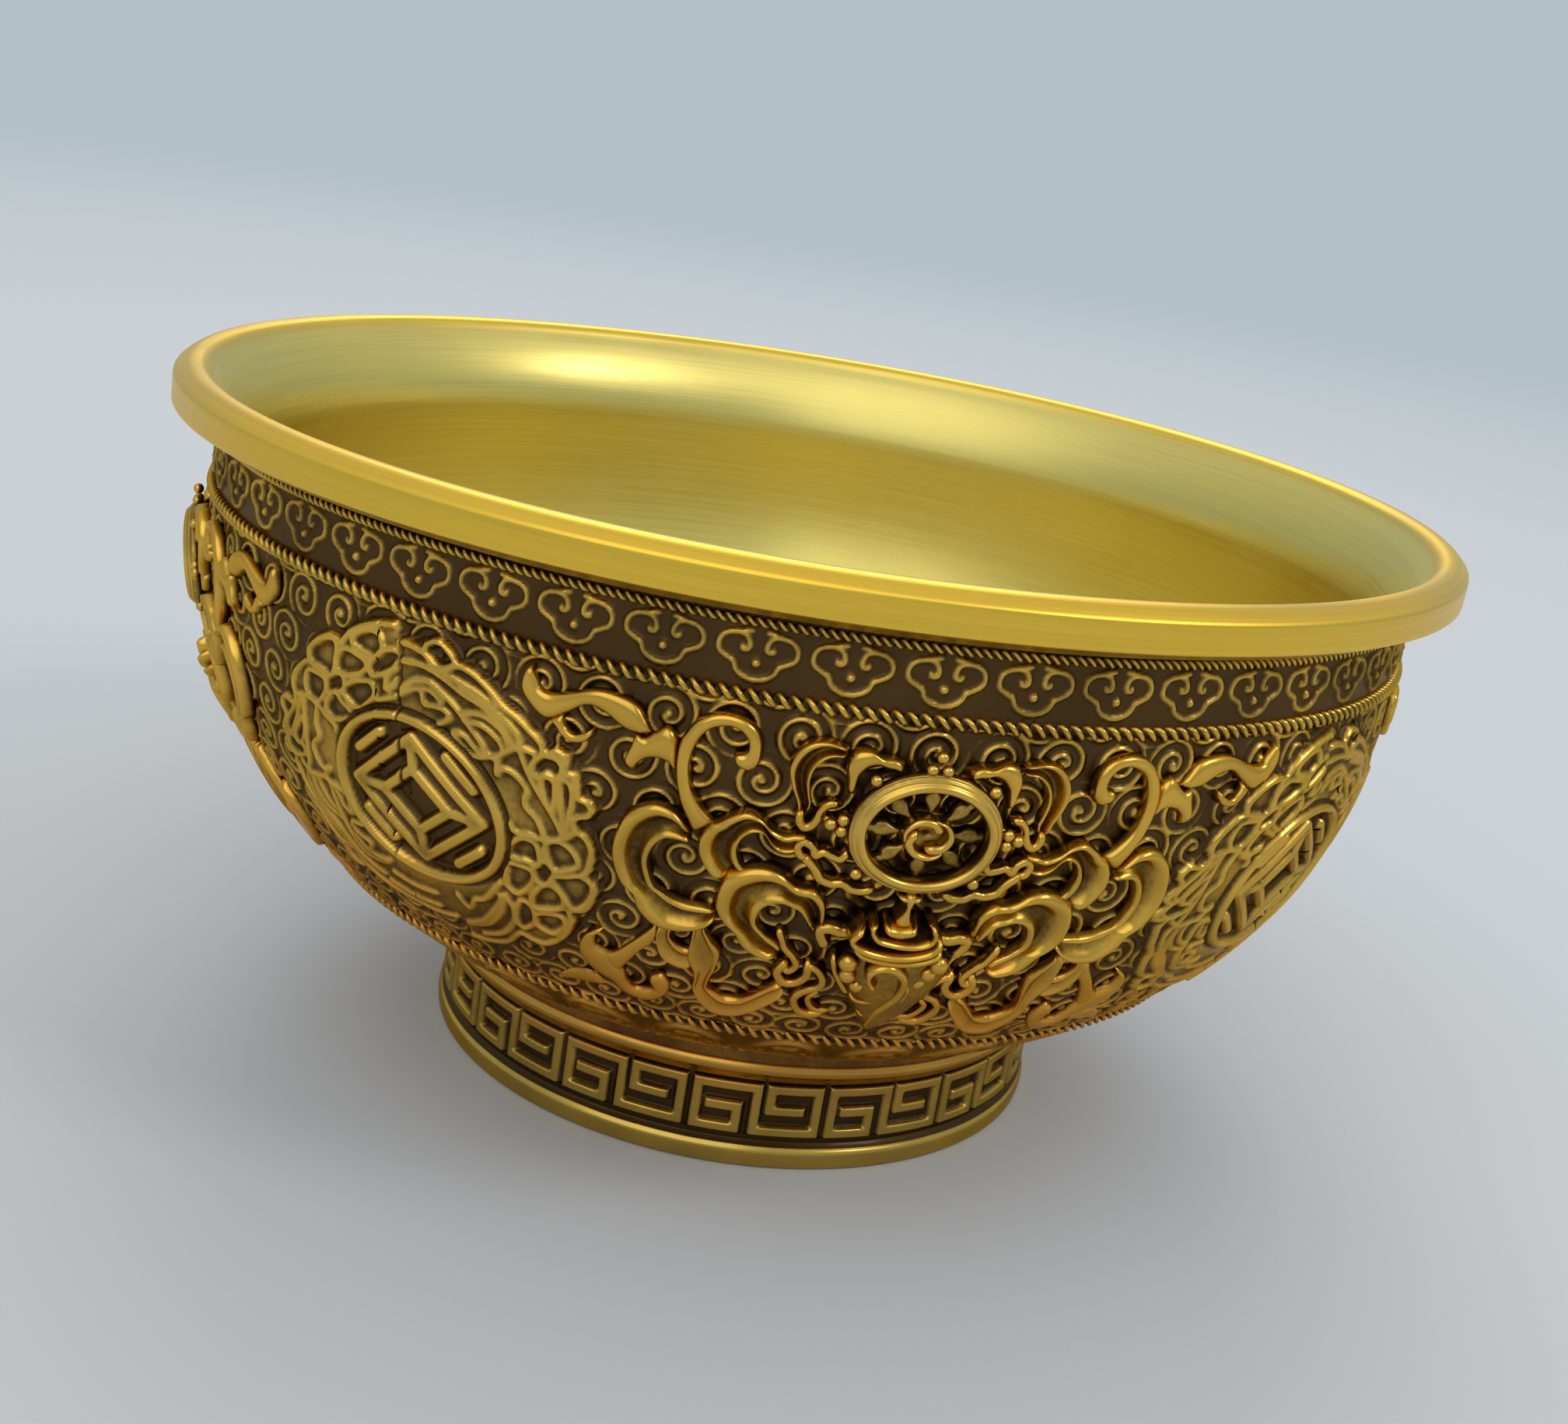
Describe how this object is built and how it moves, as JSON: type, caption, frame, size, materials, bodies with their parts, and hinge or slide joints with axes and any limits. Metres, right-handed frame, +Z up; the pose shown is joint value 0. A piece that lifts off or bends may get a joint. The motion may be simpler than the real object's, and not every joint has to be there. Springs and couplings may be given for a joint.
{
  "type": "bowl",
  "caption": "Round footed brass bowl with a heavy turned rim, a cloud head band, wheel and shell relief panels, lotus petals and a key fret foot.",
  "frame": {"origin": "centre of the foot's resting plane", "axes": "+Z up along the bowl's axis, the first wheel and shell panel faces -Y"},
  "size_m": [0.1148, 0.1148, 0.0596],
  "materials": {
    "polished_brass": "turned and lightly brushed round the axis, polished on the rim",
    "antiqued_brass": "cast, dark brown patina in the ground, rubbed bright on what stands proud",
    "relief_brass": "cast, rubbed golden on the crests, dark in the recesses",
    "coppery_brass": "cast, satin, warm coppery patina",
    "foot_brass": "turned, fret rubbed bright over a dark ground",
    "wire_brass": "twisted wire, dark between the strands"
  },
  "bodies": {
    "root": {"liner_bowl": "polished_brass", "relief_sleeve": "antiqued_brass", "lotus_cup": "coppery_brass", "foot_ring": "foot_brass", "wire_lower": "wire_brass", "wire_middle": "wire_brass", "wire_upper": "wire_brass", "wheel_1": "relief_brass", "shell_1": "relief_brass", "scrolls_left_1": "relief_brass", "scrolls_right_1": "relief_brass", "wheel_2": "relief_brass", "shell_2": "relief_brass", "scrolls_left_2": "relief_brass", "scrolls_right_2": "relief_brass", "wheel_3": "relief_brass", "shell_3": "relief_brass", "scrolls_left_3": "relief_brass", "scrolls_right_3": "relief_brass", "wheel_4": "relief_brass", "shell_4": "relief_brass", "scrolls_left_4": "relief_brass", "scrolls_right_4": "relief_brass"}
  },
  "joints": []
}
